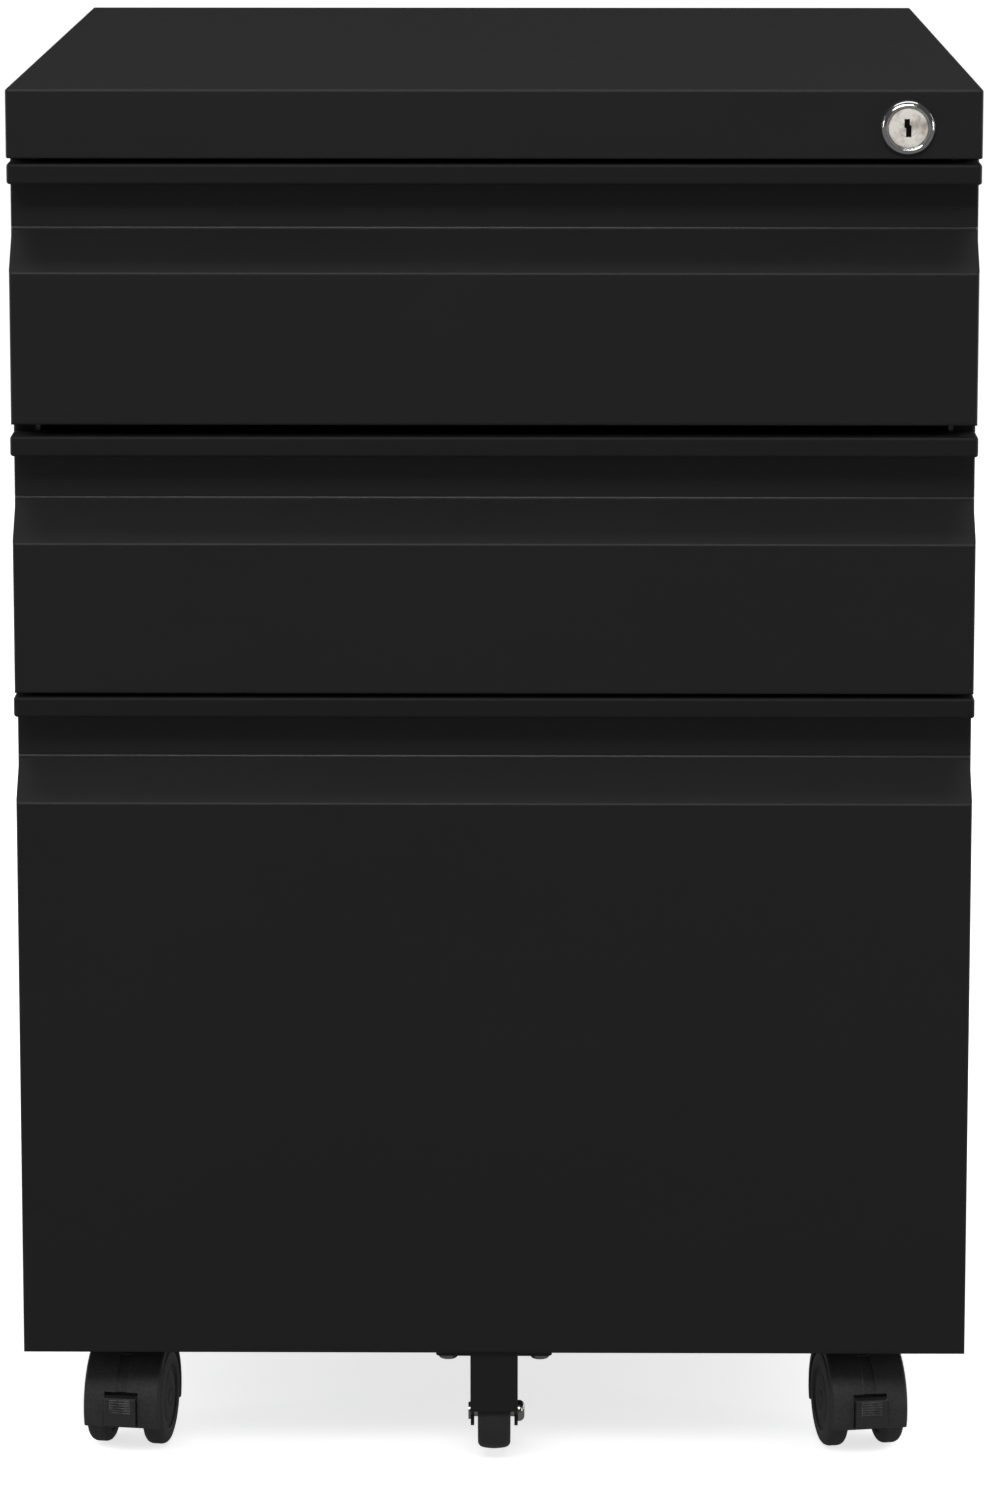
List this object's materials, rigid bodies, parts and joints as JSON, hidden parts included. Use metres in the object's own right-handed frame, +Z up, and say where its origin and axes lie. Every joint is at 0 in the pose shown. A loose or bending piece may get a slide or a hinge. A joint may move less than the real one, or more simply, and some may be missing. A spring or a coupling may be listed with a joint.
{
  "type": "mobile filing pedestal",
  "caption": "Black sheet-steel mobile filing cabinet: two box drawers over a file drawer on ball slides, full-width recessed pulls, cam lock, twin-wheel casters.",
  "frame": {"origin": "floor under the middle of the cabinet's overall box", "axes": "+X to the right of someone facing the drawers, +Y from front to back, +Z up"},
  "size_m": [0.39, 0.453, 0.574],
  "materials": {
    "shell_paint": "fine satin powder coat",
    "cap_paint": "fine satin powder coat",
    "front_paint": "fine satin powder coat",
    "tray_paint": "satin powder coat",
    "bracket_paint": "satin powder coat",
    "pull_plastic": "satin moulded and extruded plastic",
    "guide_plastic": "moulded nylon",
    "hood_plastic": "textured moulded nylon",
    "wheel_plastic": "moulded nylon",
    "brake_plastic": "ribbed moulded nylon",
    "tip_wheel_plastic": "moulded nylon",
    "zinc": "zinc-plated steel",
    "slide_zinc": "bright zinc-plated steel",
    "ball_steel": "polished steel balls in a plated cage",
    "screw_steel": "plated steel",
    "axle_steel": "bright plated steel",
    "lock_chrome": "polished chrome plate",
    "lock_nickel": "satin nickel plate"
  },
  "bodies": {
    "root": {"cabinet_shell": "shell_paint", "top_cap": "cap_paint", "base_pan": "shell_paint", "uprights": "zinc", "slide_1_outer": "slide_zinc", "slide_2_outer": "slide_zinc", "slide_3_outer": "slide_zinc", "lock_housing": "lock_chrome", "lock_nut": "zinc", "lock_bar_guides": "guide_plastic", "caster_stems": "zinc"},
    "lock": {"lock_plug": "lock_nickel", "lock_cam": "zinc"},
    "lock_bar": {"lock_bar": "zinc"},
    "drawer_1": {"drawer_1_front": "front_paint", "drawer_1_pull": "pull_plastic", "drawer_1_tray": "tray_paint", "drawer_1_catch": "zinc", "drawer_1_screws": "screw_steel", "slide_1_inner": "slide_zinc"},
    "slide_1_middle": {"slide_1_middle": "slide_zinc"},
    "slide_1_outer_cage": {"slide_1_outer_cage": "ball_steel"},
    "slide_1_inner_cage": {"slide_1_inner_cage": "ball_steel"},
    "drawer_2": {"drawer_2_front": "front_paint", "drawer_2_pull": "pull_plastic", "drawer_2_tray": "tray_paint", "drawer_2_catch": "zinc", "drawer_2_screws": "screw_steel", "slide_2_inner": "slide_zinc"},
    "slide_2_middle": {"slide_2_middle": "slide_zinc"},
    "slide_2_outer_cage": {"slide_2_outer_cage": "ball_steel"},
    "slide_2_inner_cage": {"slide_2_inner_cage": "ball_steel"},
    "drawer_3": {"drawer_3_front": "front_paint", "drawer_3_pull": "pull_plastic", "drawer_3_tray": "tray_paint", "drawer_3_catch": "zinc", "drawer_3_screws": "screw_steel", "slide_3_inner": "slide_zinc", "file_rails": "zinc", "anti_tip_bracket": "bracket_paint", "anti_tip_axle": "axle_steel"},
    "slide_3_middle": {"slide_3_middle": "slide_zinc"},
    "slide_3_outer_cage": {"slide_3_outer_cage": "ball_steel"},
    "slide_3_inner_cage": {"slide_3_inner_cage": "ball_steel"},
    "caster_front_left": {"caster_front_left_hood": "hood_plastic", "caster_front_left_axle": "axle_steel"},
    "caster_front_left_wheel_l": {"caster_front_left_wheel_l": "wheel_plastic"},
    "caster_front_left_wheel_r": {"caster_front_left_wheel_r": "wheel_plastic"},
    "caster_front_left_brake": {"caster_front_left_brake": "brake_plastic"},
    "caster_front_right": {"caster_front_right_hood": "hood_plastic", "caster_front_right_axle": "axle_steel"},
    "caster_front_right_wheel_l": {"caster_front_right_wheel_l": "wheel_plastic"},
    "caster_front_right_wheel_r": {"caster_front_right_wheel_r": "wheel_plastic"},
    "caster_front_right_brake": {"caster_front_right_brake": "brake_plastic"},
    "caster_rear_left": {"caster_rear_left_hood": "hood_plastic", "caster_rear_left_axle": "axle_steel"},
    "caster_rear_left_wheel_l": {"caster_rear_left_wheel_l": "wheel_plastic"},
    "caster_rear_left_wheel_r": {"caster_rear_left_wheel_r": "wheel_plastic"},
    "caster_rear_right": {"caster_rear_right_hood": "hood_plastic", "caster_rear_right_axle": "axle_steel"},
    "caster_rear_right_wheel_l": {"caster_rear_right_wheel_l": "wheel_plastic"},
    "caster_rear_right_wheel_r": {"caster_rear_right_wheel_r": "wheel_plastic"},
    "anti_tip_wheel": {"anti_tip_wheel": "tip_wheel_plastic"}
  },
  "joints": [
    {"name": "drawer_1_slide", "type": "slide", "parent": "root", "child": "drawer_1", "axis": [0, -1, 0], "range_m": [0, 0.38]},
    {"name": "slide_1_middle_travel", "type": "slide", "parent": "root", "child": "slide_1_middle", "axis": [0, -1, 0], "range_m": [0, 0.19]},
    {"name": "slide_1_outer_cage_travel", "type": "slide", "parent": "root", "child": "slide_1_outer_cage", "axis": [0, -1, 0], "range_m": [0, 0.095]},
    {"name": "slide_1_inner_cage_travel", "type": "slide", "parent": "root", "child": "slide_1_inner_cage", "axis": [0, -1, 0], "range_m": [0, 0.285]},
    {"name": "drawer_2_slide", "type": "slide", "parent": "root", "child": "drawer_2", "axis": [0, -1, 0], "range_m": [0, 0.38]},
    {"name": "slide_2_middle_travel", "type": "slide", "parent": "root", "child": "slide_2_middle", "axis": [0, -1, 0], "range_m": [0, 0.19]},
    {"name": "slide_2_outer_cage_travel", "type": "slide", "parent": "root", "child": "slide_2_outer_cage", "axis": [0, -1, 0], "range_m": [0, 0.095]},
    {"name": "slide_2_inner_cage_travel", "type": "slide", "parent": "root", "child": "slide_2_inner_cage", "axis": [0, -1, 0], "range_m": [0, 0.285]},
    {"name": "drawer_3_slide", "type": "slide", "parent": "root", "child": "drawer_3", "axis": [0, -1, 0], "range_m": [0, 0.38]},
    {"name": "slide_3_middle_travel", "type": "slide", "parent": "root", "child": "slide_3_middle", "axis": [0, -1, 0], "range_m": [0, 0.19]},
    {"name": "slide_3_outer_cage_travel", "type": "slide", "parent": "root", "child": "slide_3_outer_cage", "axis": [0, -1, 0], "range_m": [0, 0.095]},
    {"name": "slide_3_inner_cage_travel", "type": "slide", "parent": "root", "child": "slide_3_inner_cage", "axis": [0, -1, 0], "range_m": [0, 0.285]},
    {"name": "lock_turn", "type": "hinge", "parent": "root", "child": "lock", "pos_m": [0.165, -0.2235, 0.5586], "axis": [0, 1, 0], "range_deg": [0, 90.01]},
    {"name": "lock_bar_drop", "type": "slide", "parent": "root", "child": "lock_bar", "axis": [0, 0, -1], "range_m": [0, 0.01131]},
    {"name": "caster_front_left_swivel", "type": "hinge", "parent": "root", "child": "caster_front_left", "pos_m": [-0.15, -0.1675, 0.0465], "axis": [0, 0, 1], "continuous": true},
    {"name": "caster_front_left_wheel_l_roll", "type": "hinge", "parent": "caster_front_left", "child": "caster_front_left_wheel_l", "pos_m": [-0.15237, -0.18332, 0.02], "axis": [0.989, -0.1478, 0], "continuous": true},
    {"name": "caster_front_left_wheel_r_roll", "type": "hinge", "parent": "caster_front_left", "child": "caster_front_left_wheel_r", "pos_m": [-0.15237, -0.18332, 0.02], "axis": [0.989, -0.1478, 0], "continuous": true},
    {"name": "caster_front_left_brake_press", "type": "hinge", "parent": "caster_front_left", "child": "caster_front_left_brake", "pos_m": [-0.15562, -0.20509, 0.02468], "axis": [0.989, -0.1478, 0], "range_deg": [0, 10]},
    {"name": "caster_front_right_swivel", "type": "hinge", "parent": "root", "child": "caster_front_right", "pos_m": [0.15, -0.1675, 0.0465], "axis": [0, 0, 1], "continuous": true},
    {"name": "caster_front_right_wheel_l_roll", "type": "hinge", "parent": "caster_front_right", "child": "caster_front_right_wheel_l", "pos_m": [0.15278, -0.18326, 0.02], "axis": [0.9848, 0.1736, 0], "continuous": true},
    {"name": "caster_front_right_wheel_r_roll", "type": "hinge", "parent": "caster_front_right", "child": "caster_front_right_wheel_r", "pos_m": [0.15278, -0.18326, 0.02], "axis": [0.9848, 0.1736, 0], "continuous": true},
    {"name": "caster_front_right_brake_press", "type": "hinge", "parent": "caster_front_right", "child": "caster_front_right_brake", "pos_m": [0.1566, -0.20493, 0.02468], "axis": [0.9848, 0.1736, 0], "range_deg": [0, 10]},
    {"name": "caster_rear_left_swivel", "type": "hinge", "parent": "root", "child": "caster_rear_left", "pos_m": [-0.15, 0.1705, 0.0465], "axis": [0, 0, 1], "continuous": true},
    {"name": "caster_rear_left_wheel_l_roll", "type": "hinge", "parent": "caster_rear_left", "child": "caster_rear_left_wheel_l", "pos_m": [-0.15, 0.1545, 0.02], "axis": [1, 0, 0], "continuous": true},
    {"name": "caster_rear_left_wheel_r_roll", "type": "hinge", "parent": "caster_rear_left", "child": "caster_rear_left_wheel_r", "pos_m": [-0.15, 0.1545, 0.02], "axis": [1, 0, 0], "continuous": true},
    {"name": "caster_rear_right_swivel", "type": "hinge", "parent": "root", "child": "caster_rear_right", "pos_m": [0.15, 0.1705, 0.0465], "axis": [0, 0, 1], "continuous": true},
    {"name": "caster_rear_right_wheel_l_roll", "type": "hinge", "parent": "caster_rear_right", "child": "caster_rear_right_wheel_l", "pos_m": [0.15, 0.1545, 0.02], "axis": [1, 0, 0], "continuous": true},
    {"name": "caster_rear_right_wheel_r_roll", "type": "hinge", "parent": "caster_rear_right", "child": "caster_rear_right_wheel_r", "pos_m": [0.15, 0.1545, 0.02], "axis": [1, 0, 0], "continuous": true},
    {"name": "anti_tip_wheel_roll", "type": "hinge", "parent": "drawer_3", "child": "anti_tip_wheel", "pos_m": [0, -0.2024, 0.0196], "axis": [1, 0, 0], "continuous": true}
  ],
  "couplings": [
    {"joint": "slide_1_middle_travel", "follows": "drawer_1_slide", "ratio": 0.5},
    {"joint": "slide_1_outer_cage_travel", "follows": "drawer_1_slide", "ratio": 0.25},
    {"joint": "slide_1_inner_cage_travel", "follows": "drawer_1_slide", "ratio": 0.75},
    {"joint": "slide_2_middle_travel", "follows": "drawer_2_slide", "ratio": 0.5},
    {"joint": "slide_2_outer_cage_travel", "follows": "drawer_2_slide", "ratio": 0.25},
    {"joint": "slide_2_inner_cage_travel", "follows": "drawer_2_slide", "ratio": 0.75},
    {"joint": "slide_3_middle_travel", "follows": "drawer_3_slide", "ratio": 0.5},
    {"joint": "slide_3_outer_cage_travel", "follows": "drawer_3_slide", "ratio": 0.25},
    {"joint": "slide_3_inner_cage_travel", "follows": "drawer_3_slide", "ratio": 0.75},
    {"joint": "lock_turn", "follows": "lock_bar_drop", "rad_per_m": 138.84}
  ]
}
